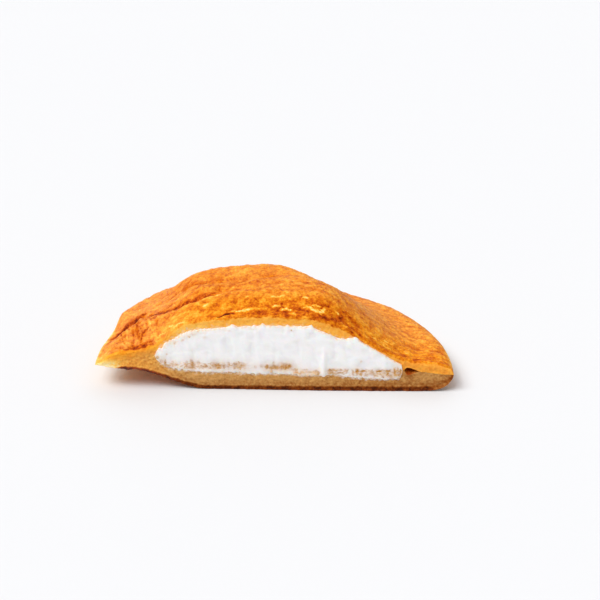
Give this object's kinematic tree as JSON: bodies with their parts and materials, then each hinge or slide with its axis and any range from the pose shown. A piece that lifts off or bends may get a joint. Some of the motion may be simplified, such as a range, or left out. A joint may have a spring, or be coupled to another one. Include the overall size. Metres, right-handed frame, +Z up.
{
  "type": "cut half of a cream-filled dorayaki",
  "caption": "Half of a cream-filled dorayaki, cut straight through the middle: a browned griddle cake over and under a filling of whipped cream, resting on its base.",
  "frame": {"origin": "on the surface that the half rests on, under the middle of its bounding box", "axes": "+Z up, +X along the knife cut to its right end seen from the cut side, and the cut faces -Y"},
  "size_m": [0.0966, 0.0488, 0.0256],
  "materials": {
    "browned_crust": "soft baked crust, orange brown with pores and fine wrinkles, slightly waxy",
    "whipped_cream": "white whipped cream, knife-streaked, soft sheen",
    "browned_base": "soft baked cake, tan at the cut, browner on its underside"
  },
  "bodies": {
    "root": {"top_pancake": "browned_crust", "cream": "whipped_cream", "bottom_pancake": "browned_base"}
  },
  "joints": []
}
